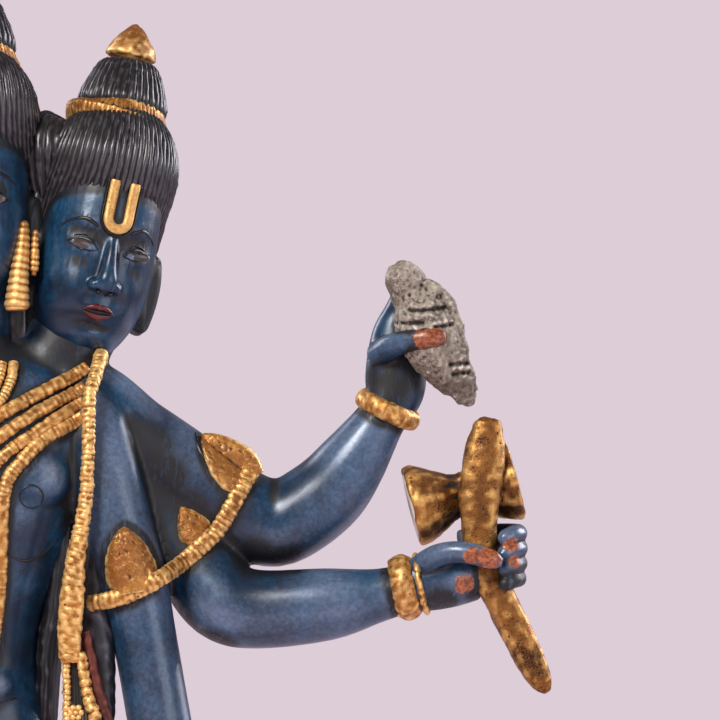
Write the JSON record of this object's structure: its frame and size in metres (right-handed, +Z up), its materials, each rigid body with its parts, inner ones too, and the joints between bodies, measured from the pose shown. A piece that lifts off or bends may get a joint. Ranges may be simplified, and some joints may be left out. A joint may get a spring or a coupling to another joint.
{
  "type": "statue",
  "caption": "Standing figure with three heads and six arms holding emblems, wrapped dress and stole, on a low lotus base; rests on its underside.",
  "frame": {"origin": "centre of the base's underside", "axes": "+Z up, the figure faces -Y, its own left is at +X"},
  "size_m": [0.4179, 0.15, 0.6226],
  "materials": {
    "painted_figure": "blue paint rubbed thin over cast brass, dark in the hollows, with antiqued gold ornaments",
    "gilt_base": "antiqued gold over brass, dark in the hollows"
  },
  "bodies": {
    "root": {"figure": "painted_figure", "base": "gilt_base"}
  },
  "joints": []
}
